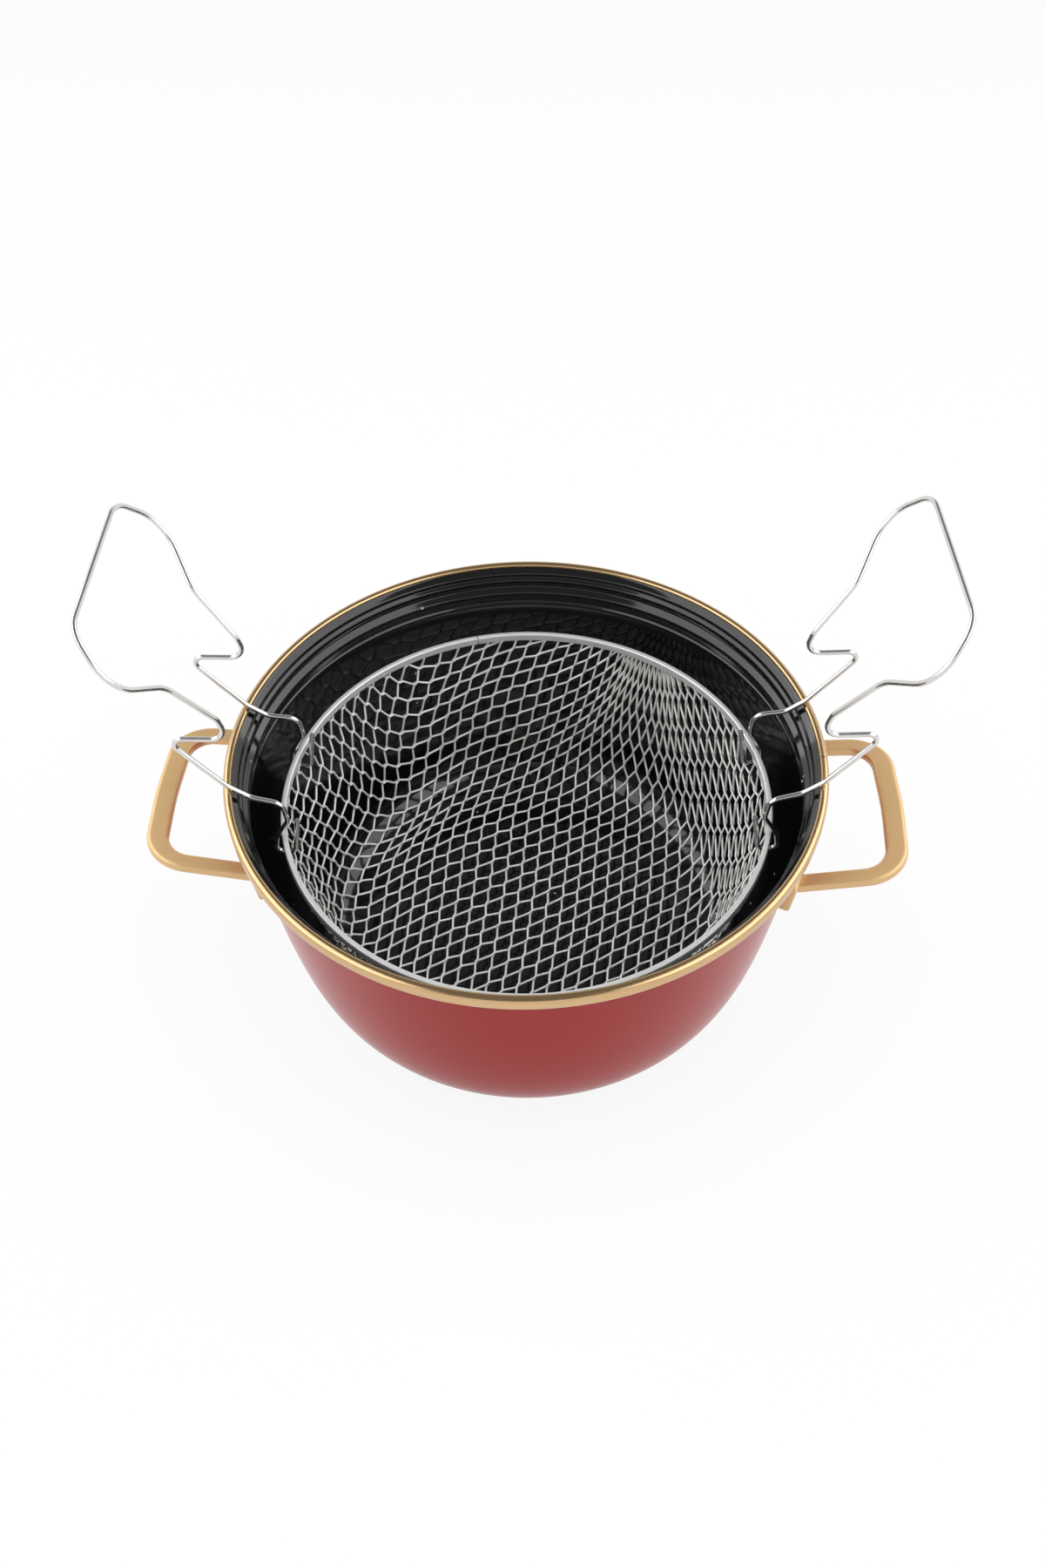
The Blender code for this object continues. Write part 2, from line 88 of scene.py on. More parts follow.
def tidy_mesh(angle=None):
    """Merges doubles, turns every face outward, and goes back to object mode with smooth shading."""
    bpy.ops.mesh.select_all(action="SELECT")
    bpy.ops.mesh.remove_doubles(threshold=2e-6)
    bpy.ops.mesh.normals_make_consistent(inside=False)
    bpy.ops.object.mode_set(mode="OBJECT")
    bpy.ops.object.shade_smooth_by_angle(angle=math.radians(angle or 35))


def bent_line(corners, bend_step):
    """Points through the corners, each given as (point, bend radius), with every bend an arc."""
    line = [Vector(corners[0][0])]
    for (before, _), (corner, radius), (after, _) in zip(corners, corners[1:], corners[2:]):
        corner = Vector(corner)
        toward = (Vector(before) - corner).normalized()
        away = (Vector(after) - corner).normalized()
        turn = math.pi - toward.angle(away)
        reach = radius * math.tan(turn / 2)
        centre = corner + (toward + away).normalized() * (radius / math.cos(turn / 2))
        first = corner + toward * reach - centre
        last = corner + away * reach - centre
        steps = max(2, math.ceil(turn / bend_step))
        for step in range(steps + 1):
            done = turn * step / steps
            line.append(centre + (first * math.sin(turn - done) + last * math.sin(done)) / math.sin(turn))
    line.append(Vector(corners[-1][0]))
    return line


def bent_section(section, bend_step):
    """The same for a section given and returned as (radius, height)."""
    line = bent_line([((radius, 0, height), bend) for (radius, height), bend in section], bend_step)
    return [(point.x, point.z) for point in line]


def wall_point(share):
    """(radius, height) on the outer side of the body."""
    rest = 1 - share
    weights = (rest**3, 3 * rest**2 * share, 3 * rest * share**2, share**3)
    return Vector([sum(w * p[axis] for w, p in zip(weights, WALL_CURVE)) for axis in (0, 1)])


def outside_radius(height):
    """Outer radius of the body at a height, found by halving."""
    low, high = 0.0, 1.0
    for _ in range(40):
        middle = (low + high) / 2
        low, high = (middle, high) if wall_point(middle).y < height else (low, middle)
    return wall_point(low).x


def wall_inside(share):
    """(radius, height) on the inner side of the body, one thickness of steel in from the outer."""
    run = wall_point(min(share + 0.01, 1)) - wall_point(max(share - 0.01, 0))
    return wall_point(share) + Vector((-run.y, run.x)).normalized() * STEEL


def enamel_group():
    """Flow marks and cloudiness of a fired enamel coat, and a mask of pinpoint specks where painted
    highlights go.
    """
    group = bpy.data.node_groups.new("enamel flow", "ShaderNodeTree")
    settings = (("Ripple Scale", 240.0), ("Cloud Scale", 16.0), ("Glint Scale", 420.0), ("Glint Share", 0.01))
    for name, value in settings:
        socket = group.interface.new_socket(name=name, in_out="INPUT", socket_type="NodeSocketFloat")
        socket.default_value = value
    for name in ("Ripple", "Cloud", "Glint"):
        group.interface.new_socket(name=name, in_out="OUTPUT", socket_type="NodeSocketFloat")
    nodes, links = group.nodes, group.links
    given = nodes.new("NodeGroupInput")
    result = nodes.new("NodeGroupOutput")
    place = nodes.new("ShaderNodeTexCoord")
    ripple = nodes.new("ShaderNodeTexNoise")
    ripple.inputs["Detail"].default_value = 1.5
    cloud = nodes.new("ShaderNodeTexNoise")
    cloud.inputs["Detail"].default_value = 3.0
    spots = nodes.new("ShaderNodeTexVoronoi")
    small = nodes.new("ShaderNodeMath")
    small.operation = "LESS_THAN"
    small.inputs[1].default_value = 0.28
    split = nodes.new("ShaderNodeSeparateColor")
    rare = nodes.new("ShaderNodeMath")
    rare.operation = "LESS_THAN"
    both = nodes.new("ShaderNodeMath")
    both.operation = "MULTIPLY"
    for node, scale in ((ripple, "Ripple Scale"), (cloud, "Cloud Scale"), (spots, "Glint Scale")):
        links.new(place.outputs["Object"], node.inputs["Vector"])
        links.new(given.outputs[scale], node.inputs["Scale"])
    links.new(spots.outputs["Distance"], small.inputs[0])
    links.new(spots.outputs["Color"], split.inputs["Color"])
    links.new(split.outputs["Red"], rare.inputs[0])
    links.new(given.outputs["Glint Share"], rare.inputs[1])
    links.new(small.outputs[0], both.inputs[0])
    links.new(rare.outputs[0], both.inputs[1])
    links.new(ripple.outputs["Fac"], result.inputs["Ripple"])
    links.new(cloud.outputs["Fac"], result.inputs["Cloud"])
    links.new(both.outputs[0], result.inputs["Glint"])
    return group


enamel_flow = enamel_group()


def enamel(name, colour, deep, glint_colour, glint_share, ripple, roughness, ior):
    """A glossy glass coat, a little uneven in tone and surface, with pinpoint painted highlights in the speck
    colour.
    """
    made = bpy.data.materials.new(name)
    made.use_nodes = True
    nodes, links = made.node_tree.nodes, made.node_tree.links
    shader = nodes["Principled BSDF"]
    shader.inputs["IOR"].default_value = ior
    flow = nodes.new("ShaderNodeGroup")
    flow.node_tree = enamel_flow
    flow.inputs["Glint Share"].default_value = glint_share
    tone = nodes.new("ShaderNodeMix")
    tone.data_type = "RGBA"
    tone.inputs["A"].default_value = (*deep, 1)
    tone.inputs["B"].default_value = (*colour, 1)
    # Mixes the speck colour, a painted highlight, in at the pinpoint specks.
    glints = nodes.new("ShaderNodeMix")
    glints.data_type = "RGBA"
    glints.inputs["B"].default_value = (*glint_colour, 1)
    gloss = nodes.new("ShaderNodeMapRange")
    gloss.inputs["To Min"].default_value = roughness * 0.8
    gloss.inputs["To Max"].default_value = roughness * 1.3
    bump = nodes.new("ShaderNodeBump")
    bump.inputs["Distance"].default_value = ripple
    bump.inputs["Strength"].default_value = 0.35
    links.new(flow.outputs["Cloud"], tone.inputs["Factor"])
    links.new(tone.outputs["Result"], glints.inputs["A"])
    links.new(flow.outputs["Glint"], glints.inputs["Factor"])
    links.new(glints.outputs["Result"], shader.inputs["Base Color"])
    links.new(flow.outputs["Cloud"], gloss.inputs["Value"])
    links.new(gloss.outputs["Result"], shader.inputs["Roughness"])
    links.new(flow.outputs["Ripple"], bump.inputs["Height"])
    links.new(bump.outputs["Normal"], shader.inputs["Normal"])
    return made


red_enamel = enamel("red enamel", RED, RED_DEEP, RED_DEEP, 0.0, 0.00006, 0.14, 1.24)
# The grey specks on the black enamel are painted highlights, pinpoint glints.
black_enamel = enamel("black enamel", BLACK, BLACK_DEEP, PAINTED_GLINT, 0.006, 0.00005, 0.08, 1.6)

outside = [wall_point(step / WALL_STEPS) for step in range(WALL_STEPS + 1)]
neck = bent_section(NECK, math.radians(6))
inside = [wall_inside(1 - step / INSIDE_STEPS) for step in range(INSIDE_STEPS + 1)]
inside = [point for point in inside if STEEL * 1.2 < point.y < neck[-1][1] - STEEL / 2]
profile = [(0, 0)] + outside + list(CURL) + neck + inside + [(inside[-1][0] - 0.002, STEEL), (0, STEEL)]
pot = start_mesh("pot_shell")
draw_line([(point[0], 0, point[1]) for point in profile])
bpy.ops.mesh.select_all(action="SELECT")
bpy.ops.mesh.spin(steps=TURN_STEPS, angle=math.tau, center=(0, 0, 0), axis=(0, 0, 1))
tidy_mesh()
pot.data.materials.append(red_enamel)
pot.data.materials.append(black_enamel)
for face in pot.data.polygons:
    middle = face.center
    on_wall = math.hypot(middle.x, middle.y) > outside_radius(middle.z) - STEEL / 2
    in_curl = middle.z > CURL_FOOT
    face.material_index = 0 if (on_wall and not in_curl) or middle.z < STEEL / 2 else 1
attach(pot, "pot")
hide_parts("pot_body")


# Rim band. A strip of gold-coloured metal rolled tight over the pot's curled rim, its back edge
# tucked under. Its two ends meet in a butt seam beside the right handle.
BAND_SECTION = (
    (0.1214, 0.1204), (0.1215, 0.1211), (0.1219, 0.1217), (0.1226, 0.1220), (0.1233, 0.12195),
    (0.1239, 0.1217), (0.1244, 0.1213), (0.1248, 0.1208), (0.1250, 0.1200), (0.1250, 0.1174),
    (0.1249, 0.1168), (0.1246, 0.1164), (0.1241, 0.1162), (0.1237, 0.1163), (0.1236, 0.1168),
    (0.1241, 0.1172), (0.1243, 0.1178), (0.1243, 0.1197), (0.1240, 0.1206), (0.1234, 0.1212),
    (0.1226, 0.1213), (0.1222, 0.1210), (0.1221, 0.1204),
)
BAND_SEAM = 0.0003
GOLD = (0.680, 0.465, 0.250)
GOLD_DULL = (0.600, 0.400, 0.205)


def metal_group():
    """Fine grain and slow blotches of a metal surface that has been handled."""
    group = bpy.data.node_groups.new("metal finish", "ShaderNodeTree")
    for name, value in (("Grain Scale", 900.0), ("Blotch Scale", 40.0)):
        socket = group.interface.new_socket(name=name, in_out="INPUT", socket_type="NodeSocketFloat")
        socket.default_value = value
    for name in ("Grain", "Blotch"):
        group.interface.new_socket(name=name, in_out="OUTPUT", socket_type="NodeSocketFloat")
    nodes, links = group.nodes, group.links
    given = nodes.new("NodeGroupInput")
    result = nodes.new("NodeGroupOutput")
    place = nodes.new("ShaderNodeTexCoord")
    for scale, output, detail in (("Grain Scale", "Grain", 2.0), ("Blotch Scale", "Blotch", 4.0)):
        noise = nodes.new("ShaderNodeTexNoise")
        noise.inputs["Detail"].default_value = detail
        links.new(place.outputs["Object"], noise.inputs["Vector"])
        links.new(given.outputs[scale], noise.inputs["Scale"])
        links.new(noise.outputs["Fac"], result.inputs[output])
    return group


metal_finish = metal_group()


def metal(name, colour, dull, roughness, grain_scale, blotch_scale, grain_height, metallic=1.0):
    """A metal whose tone and gloss wander a little, with a fine grain."""
    made = bpy.data.materials.new(name)
    made.use_nodes = True
    nodes, links = made.node_tree.nodes, made.node_tree.links
    shader = nodes["Principled BSDF"]
    shader.inputs["Metallic"].default_value = metallic
    finish = nodes.new("ShaderNodeGroup")
    finish.node_tree = metal_finish
    finish.inputs["Grain Scale"].default_value = grain_scale
    finish.inputs["Blotch Scale"].default_value = blotch_scale
    tone = nodes.new("ShaderNodeMix")
    tone.data_type = "RGBA"
    tone.inputs["A"].default_value = (*dull, 1)
    tone.inputs["B"].default_value = (*colour, 1)
    gloss = nodes.new("ShaderNodeMapRange")
    gloss.inputs["To Min"].default_value = roughness * 1.35
    gloss.inputs["To Max"].default_value = roughness * 0.7
    bump = nodes.new("ShaderNodeBump")
    bump.inputs["Distance"].default_value = grain_height
    bump.inputs["Strength"].default_value = 0.3
    links.new(finish.outputs["Blotch"], tone.inputs["Factor"])
    links.new(tone.outputs["Result"], shader.inputs["Base Color"])
    links.new(finish.outputs["Grain"], gloss.inputs["Value"])
    links.new(gloss.outputs["Result"], shader.inputs["Roughness"])
    links.new(finish.outputs["Grain"], bump.inputs["Height"])
    links.new(bump.outputs["Normal"], shader.inputs["Normal"])
    return made


def ring(name, section, seam_angle, seam):
    """A section spun round Z all but the width of its seam, with both ends closed."""
    made = start_mesh(name)
    draw_line([(radius, 0, height) for radius, height in section])
    bpy.ops.mesh.select_all(action="SELECT")
    bpy.ops.mesh.edge_face_add()
    gap = seam / section[0][0]
    bpy.ops.mesh.select_all(action="SELECT")
    bpy.ops.transform.rotate(value=-(seam_angle + gap / 2), orient_axis="Z", center_override=(0, 0, 0))
    bpy.ops.mesh.spin(steps=TURN_STEPS, angle=-(math.tau - gap), center=(0, 0, 0), axis=(0, 0, 1))
    bpy.ops.mesh.select_all(action="SELECT")
    bpy.ops.mesh.fill_holes(sides=0)
    tidy_mesh(50)
    return made


gold_band = metal("gold rim metal", GOLD, GOLD_DULL, 0.20, 700, 30, 0.00003)
band = ring("rim_roll", BAND_SECTION, 0.0, BAND_SEAM)
band.data.materials.append(gold_band)
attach(band, "pot")
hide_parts("rim_band")


# Handle feet. Four small gold-coloured plates, pressed with rounded edges and welded to the red
# wall under the rim. Each carries one arm of a side handle.
ROOT_HEIGHT = 0.086
HANDLE_SPREAD = 0.0385
FOOT_SIZE = (0.0054, 0.0205, 0.0152)
FOOT_ROUND = 0.0013
FOOT_OUT = 0.0016
LEAN_SPAN = 0.004
GOLD_STRAP = (0.760, 0.510, 0.250)
GOLD_STRAP_DULL = (0.690, 0.455, 0.215)

gold_strap = metal("gold handle metal", GOLD_STRAP, GOLD_STRAP_DULL, 0.38, 800, 26, 0.00004, 0.52)
root_radius = outside_radius(ROOT_HEIGHT)
lean_out = outside_radius(ROOT_HEIGHT + LEAN_SPAN) - outside_radius(ROOT_HEIGHT - LEAN_SPAN)
wall_lean = math.atan2(lean_out, LEAN_SPAN * 2)
foot_turn = math.asin(HANDLE_SPREAD / (root_radius + FOOT_SIZE[0]))
for side, side_word in ((1, "right"), (-1, "left")):
    for end, end_word in ((-1, "front"), (1, "back")):
        bpy.ops.object.select_all(action="DESELECT")
        middle = (root_radius + FOOT_OUT, 0, ROOT_HEIGHT)
        bpy.ops.mesh.primitive_cube_add(size=1, location=middle, scale=FOOT_SIZE)
        foot = bpy.context.object
        foot.name = f"{side_word}_{end_word}_foot"
        foot.data.name = foot.name
        bpy.ops.object.transform_apply(location=True, rotation=True, scale=True)
        bpy.ops.object.mode_set(mode="EDIT")
        bpy.ops.mesh.select_all(action="SELECT")
        bpy.ops.mesh.bevel(offset=FOOT_ROUND, segments=4, affect="EDGES")
        bpy.ops.mesh.select_all(action="SELECT")
        wall = (root_radius, 0, ROOT_HEIGHT)
        bpy.ops.transform.rotate(value=-wall_lean, orient_axis="Y", center_override=wall)
        turn = foot_turn * end if side > 0 else math.pi - foot_turn * end
        bpy.ops.transform.rotate(value=-turn, orient_axis="Z", center_override=(0, 0, 0))
        tidy_mesh()
        foot.data.materials.append(gold_strap)
        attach(foot, "pot")
        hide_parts(f"{side_word}_{end_word}_handle_foot")


# Side handles. Each is one flat gold-coloured bar with rounded edges, drawn in on its arms and
# bent into a loop with two tight corners and a slightly bowed grip, rising a little outwards.
HANDLE_REACH = 0.1564
HANDLE_BOW = 0.0016
HANDLE_TAPER = 0.0020
HANDLE_CORNER = 0.0150
HANDLE_RISE = 0.0050
BAR_THICKNESS = 0.0050
BAR_ROUND = 0.0016
ARM_WIDTH = 0.0070
GRIP_WIDTH = 0.0092
BAR_ROOT = 0.0036
BAR_STOPS = 150


def guide_curve(lines):
    """One object with a poly curve through each line of points, for a bar or wire to follow."""
    data = bpy.data.curves.new("guide", "CURVE")
    data.dimensions = "3D"
    for line in lines:
        spline = data.splines.new("POLY")
        spline.points.add(len(line) - 1)
        spline.points.foreach_set("co", np.column_stack([line, np.ones(len(line))]).ravel())
    guide = bpy.data.objects.new("guide", data)
    bpy.context.scene.collection.objects.link(guide)
    return guide


for side, side_word in ((1, "right"), (-1, "left")):
    start = math.sqrt((root_radius + BAR_ROOT) ** 2 - HANDLE_SPREAD**2)
    spread = HANDLE_SPREAD - HANDLE_TAPER
    outer = HANDLE_REACH - HANDLE_BOW
    half = BAR_THICKNESS / 2
    line = bent_line(
        [((start, -HANDLE_SPREAD, 0), 0), ((outer, -spread, 0), HANDLE_CORNER),
         ((HANDLE_REACH, 0, 0), HANDLE_REACH), ((outer, spread, 0), HANDLE_CORNER),
         ((start, HANDLE_SPREAD, 0), 0)], math.radians(4))
    length = sum((b - a).length for a, b in zip(line, line[1:]))
    corner_start = outer - HANDLE_CORNER - start
    corner_end = corner_start + HANDLE_CORNER * math.pi / 2
    bpy.ops.object.select_all(action="DESELECT")
    bar = start_mesh(f"{side_word}_strap_handle")
    draw_line(bent_line(
        [((0, 0, -half), 0), ((0, ARM_WIDTH / 2, -half), BAR_ROUND), ((0, ARM_WIDTH / 2, half), BAR_ROUND),
         ((0, -ARM_WIDTH / 2, half), BAR_ROUND), ((0, -ARM_WIDTH / 2, -half), BAR_ROUND), ((0, 0, -half), 0)],
        math.radians(8)))
    bpy.ops.mesh.select_all(action="SELECT")
    bpy.ops.mesh.remove_doubles(threshold=0.00001)
    bpy.ops.mesh.edge_face_add()
    width = ARM_WIDTH
    for stop in range(BAR_STOPS):
        bpy.ops.mesh.extrude_region_move(TRANSFORM_OT_translate={"value": (length / BAR_STOPS, 0, 0)})
        here = length * (stop + 1) / BAR_STOPS
        share = (min(here, length - here) - corner_start) / (corner_end - corner_start)
        share = min(max(share, 0), 1)
        wanted = ARM_WIDTH + (GRIP_WIDTH - ARM_WIDTH) * share * share * (3 - 2 * share)
        bpy.ops.transform.resize(value=(1, wanted / width, 1), center_override=(here, 0, 0))
        width = wanted
    tidy_mesh(60)
    guide = guide_curve([line])
    bend = bar.modifiers.new("bend", "CURVE")
    bend.object = guide
    bend.deform_axis = "POS_X"
    bpy.ops.object.modifier_apply(modifier=bend.name)
    bpy.data.objects.remove(guide)
    bpy.ops.object.mode_set(mode="EDIT")
    bpy.ops.mesh.select_all(action="SELECT")
    rise = math.atan2(HANDLE_RISE, outer - start)
    bpy.ops.transform.rotate(value=rise, orient_axis="Y", center_override=(start, 0, 0))
    bpy.ops.transform.translate(value=(0, 0, ROOT_HEIGHT))
    if side < 0:
        bpy.ops.transform.rotate(value=math.pi, orient_axis="Z", center_override=(0, 0, 0))
    tidy_mesh(60)
    bar.data.materials.append(gold_strap)
    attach(bar, "pot")
    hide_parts(f"{side_word}_side_handle")


# Basket net. Matt plated wires laced over and under each other into diamonds, with a short slanted
# joint at every crossing, a flat sheet pressed into a bowl. Its wires keep their lengths, so the
# diamonds close up or open as they climb the wall. The cut ends go up into the hoop.
NET_EDGE = 0.0084
NET_WIRE = 0.00108
NET_WAYS = (math.radians(87.2), math.radians(29.1))
NET_NODE = (-0.0240, 0.0720)
NET_CLOSEST = 0.0018
NET_JOINT = 0.0019
NET_BEND = 0.0007
NET_COUNT = 34
NET_MARGIN = 0.026
NET_ROUNDS = 500
NET_STIFFNESS = 0.3
NET_SECTION = (((0, 0.0190), 0), ((0.0840, 0.0210), 0.018), ((0.1036, 0.0903), 0.04), ((0.1036, 0.1303), 0))
NET_TOP = 0.0925
SILVER = (0.880, 0.870, 0.850)
SILVER_DULL = (0.820, 0.810, 0.790)
BASKET_TURN = math.radians(1.97)
HANDLE_TURN = math.radians(1.58)
HINGE_REACH = 0.100590
HINGE_HEIGHT = 0.09325
HOOK_SPREAD = 0.024793
HOOK_PASS = -0.0068
HOOK_DRAW_REACH = 0.016
HOOK_ROOM = 0.0018
HOOK_ROOM_REACH = 0.010
bowl = np.array(bent_section(NET_SECTION, math.radians(5)))
bowl_runs = np.diff(bowl, axis=0)
bowl_lengths = np.hypot(bowl_runs[:, 0], bowl_runs[:, 1])
bowl_reach = np.concatenate(([0], np.cumsum(bowl_lengths)))


def onto_bowl(points):
    """The nearest places on the bowl, and which run of its section each is on."""
    radius = np.hypot(points[:, 0], points[:, 1])
    flat = np.stack([radius, points[:, 2]], 1)
    share = ((flat[:, None] - bowl[None, :-1]) * bowl_runs).sum(2) / bowl_lengths**2
    near = bowl[None, :-1] + bowl_runs * np.clip(share, 0, 1)[..., None]
    run = ((flat[:, None] - near) ** 2).sum(2).argmin(1)
    near = near[np.arange(len(points)), run]
    across = points[:, :2] / np.maximum(radius, 1e-9)[:, None]
    return np.column_stack([across * near[:, :1], near[:, 1]]), run


along_a, along_b = (NET_EDGE * np.array([math.cos(way), math.sin(way)]) for way in NET_WAYS)
places = []
points = []
for i in range(-NET_COUNT, NET_COUNT + 1):
    for j in range(-NET_COUNT, NET_COUNT + 1):
        flat = np.array(NET_NODE) + i * along_a + j * along_b
        reach = math.hypot(*flat)
        if reach < bowl_reach[-1] - NET_MARGIN:
            radius = np.interp(reach, bowl_reach, bowl[:, 0])
            places.append((i, j))
            points.append((*(flat / reach * radius), np.interp(reach, bowl_reach, bowl[:, 1])))
points = np.array(points)
index = {place: number for number, place in enumerate(places)}


def linked(i_step, j_step, parity):
    """Pairs of nodes that are a step apart, every other one so that no node is in two pairs."""
    return np.array([
        (number, index[i + i_step, j + j_step]) for (i, j), number in index.items()
        if (i + i_step, j + j_step) in index and (i if i_step else j) % 2 == parity])


edges = [linked(*step, parity) for step in ((1, 0), (0, 1)) for parity in (0, 1)]
gaps = [linked(*step, parity) for step in ((1, 1), (1, -1)) for parity in (0, 1)]
threes = np.array([
    (index[i - a, j - b], number, index[i + a, j + b])
    for (i, j), number in index.items() for a, b in ((1, 0), (0, 1))
    if (i - a, j - b) in index and (i + a, j + b) in index])
for step in range(NET_ROUNDS):
    stiffness = NET_STIFFNESS / 3 ** (step / NET_ROUNDS)
    bow = stiffness * ((points[threes[:, 0]] + points[threes[:, 2]]) / 2 - points[threes[:, 1]])
    np.add.at(points, threes[:, 1], bow)
    np.add.at(points, threes[:, 0], -bow / 2)
    np.add.at(points, threes[:, 2], -bow / 2)
    for pairs, is_edge in [(pairs, True) for pairs in edges] * 2 + [(pairs, False) for pairs in gaps]:
        across = points[pairs[:, 1]] - points[pairs[:, 0]]
        span = np.linalg.norm(across, axis=1)
        short = span - NET_EDGE if is_edge else np.minimum(span - NET_CLOSEST, 0)
        shift = across * (short / span / 2)[:, None]
        points[pairs[:, 0]] += shift
        points[pairs[:, 1]] -= shift
    points = onto_bowl(points)[0]

# The sheet is carried on past its edge, so that its wires reach the hoop all round.
for _ in range(3):
    beyond = {}
    for (i, j), number in index.items():
        for i_step, j_step in ((1, 0), (-1, 0), (0, 1), (0, -1)):
            before, after = (i - i_step, j - j_step), (i + i_step, j + j_step)
            if before in index and after not in index:
                beyond.setdefault(after, []).append(points[number] * 2 - points[index[before]])
    for place in beyond:
        index[place] = len(index)
    grown = [np.mean(guesses, axis=0) for guesses in beyond.values()]
    points = onto_bowl(np.vstack([points] + grown))[0]


def node(i, j):
    return points[index[i, j]]


# Each hook goes through one opening, which it has drawn to itself and pushed wider.
for turn in (math.pi - HANDLE_TURN, HANDLE_TURN):
    for side in (-1, 1):
        placed = Matrix.Rotation(BASKET_TURN + turn, 4, "Z")
        hook = np.array(placed @ Vector((HINGE_REACH, side * HOOK_SPREAD, HINGE_HEIGHT + HOOK_PASS)))
        hook = onto_bowl(hook[None])[0][0]
        cells = np.array([
            (node(i, j) + node(i + 1, j) + node(i, j + 1) + node(i + 1, j + 1)) / 4 for i, j in index
            if (i + 1, j) in index and (i, j + 1) in index and (i + 1, j + 1) in index])
        cell = cells[((cells - hook) ** 2).sum(1).argmin()]
        away_squared = ((points - cell) ** 2).sum(1)[:, None]
        points = points + (hook - cell) * np.exp(-away_squared / HOOK_DRAW_REACH**2)
        off = points - hook
        away = np.linalg.norm(off, axis=1)[:, None]
        points = points + off / away * HOOK_ROOM * np.exp(-((away / HOOK_ROOM_REACH) ** 2))
points, runs = onto_bowl(points)
outward = np.maximum(np.hypot(points[:, 0], points[:, 1]), 1e-9)
slope = bowl_runs[runs] / bowl_lengths[runs][:, None]
inward = np.column_stack([points[:, :2] / outward[:, None] * -slope[:, 1:], slope[:, 0]])


def unit(vector):
    return vector / np.linalg.norm(vector)


def drawn_wire(name, lines, thickness, roundness, angle):
    """Round wires along all the lines, as one mesh."""
    guide = guide_curve(lines)
    guide.data.bevel_depth = thickness / 2
    guide.data.bevel_resolution = roundness
    guide.data.use_fill_caps = True
    bpy.ops.object.select_all(action="DESELECT")
    guide.select_set(True)
    bpy.context.view_layer.objects.active = guide
    bpy.ops.object.convert(target="MESH")
    wire = bpy.context.object
    wire.name = name
    wire.data.name = name
    bpy.ops.object.mode_set(mode="EDIT")
    tidy_mesh(angle)
    return wire


NET_LINES = range(-NET_COUNT - 4, NET_COUNT + 5)
stretches = []
for i_step, j_step in ((1, 0), (0, 1)):
    for across in NET_LINES:
        corners = [[]]
        for along in NET_LINES:
            i, j = (along, across) if i_step else (across, along)
            if any(place not in index for place in ((i, j), (i + 1, j), (i - 1, j), (i, j + 1), (i, j - 1))):
                corners.append([])
                continue
            slant = unit(node(i + 1, j) + node(i, j + 1) - node(i - 1, j) - node(i, j - 1))
            apart = unit(node(i + 1, j) - node(i - 1, j)) - unit(node(i, j + 1) - node(i, j - 1))
            slant = slant * NET_JOINT / 2 * min(1, np.linalg.norm(apart))
            lift = inward[index[i, j]] * NET_WIRE / 2 * (1 if (i + j + i_step) % 2 else -1)
            corners[-1] += [node(i, j) + lift - slant, node(i, j) + lift + slant]
        for run in corners:
            line = []
            for before, here, after in zip(run, run[1:], run[2:]):
                back = unit(before - here) * NET_BEND
                on = unit(after - here) * NET_BEND
                line += [here + back * (1 - share) ** 2 + on * share**2 for share in (0, 0.5, 1)]
            stretches.append([])
            for first, second in zip(line, line[1:]):
                if first[2] < NET_TOP:
                    stretches[-1].append(first)
                if (first[2] < NET_TOP) != (second[2] < NET_TOP):
                    cut = (NET_TOP - first[2]) / (second[2] - first[2])
                    stretches[-1].append(first + (second - first) * cut)
                    if second[2] >= NET_TOP:
                        stretches.append([])
net = drawn_wire("woven_net", [stretch for stretch in stretches if len(stretch) > 2], NET_WIRE, 1, 80)
net.data.materials.append(metal("plated net wire", SILVER, SILVER_DULL, 0.42, 500, 90, 0.00003, 0.5))
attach(net, "basket")
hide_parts("basket_net")


# Basket hoop. A narrow bright channel, open below, bent into a ring and butted at the back. It
# grips the bound edge of the net and carries the hooks of both wire handles.
HOOP_SECTION = (
    (0.10240, 0.09150), (0.10240, 0.09445), (0.10255, 0.09480), (0.10290, 0.09500), (0.10430, 0.09500),
    (0.10465, 0.09480), (0.10480, 0.09445), (0.10480, 0.09150), (0.10430, 0.09150), (0.10430, 0.09435),
    (0.10290, 0.09435), (0.10290, 0.09150),
)
HOOP_SEAM = 0.0004
HOOP_SEAM_ANGLE = math.radians(104.9)
CHROME = (0.800, 0.795, 0.785)
CHROME_DULL = (0.600, 0.595, 0.585)
STRIP = (0.880, 0.875, 0.865)
bright_wire = metal("bright plated wire", CHROME, CHROME_DULL, 0.16, 600, 60, 0.00003)
bright_strip = metal("bright plated strip", STRIP, CHROME, 0.34, 600, 60, 0.00003, 0.6)
hoop = ring("basket_channel", HOOP_SECTION, HOOP_SEAM_ANGLE, HOOP_SEAM)
hoop.data.materials.append(bright_strip)
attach(hoop, "basket")
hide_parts("basket_hoop")


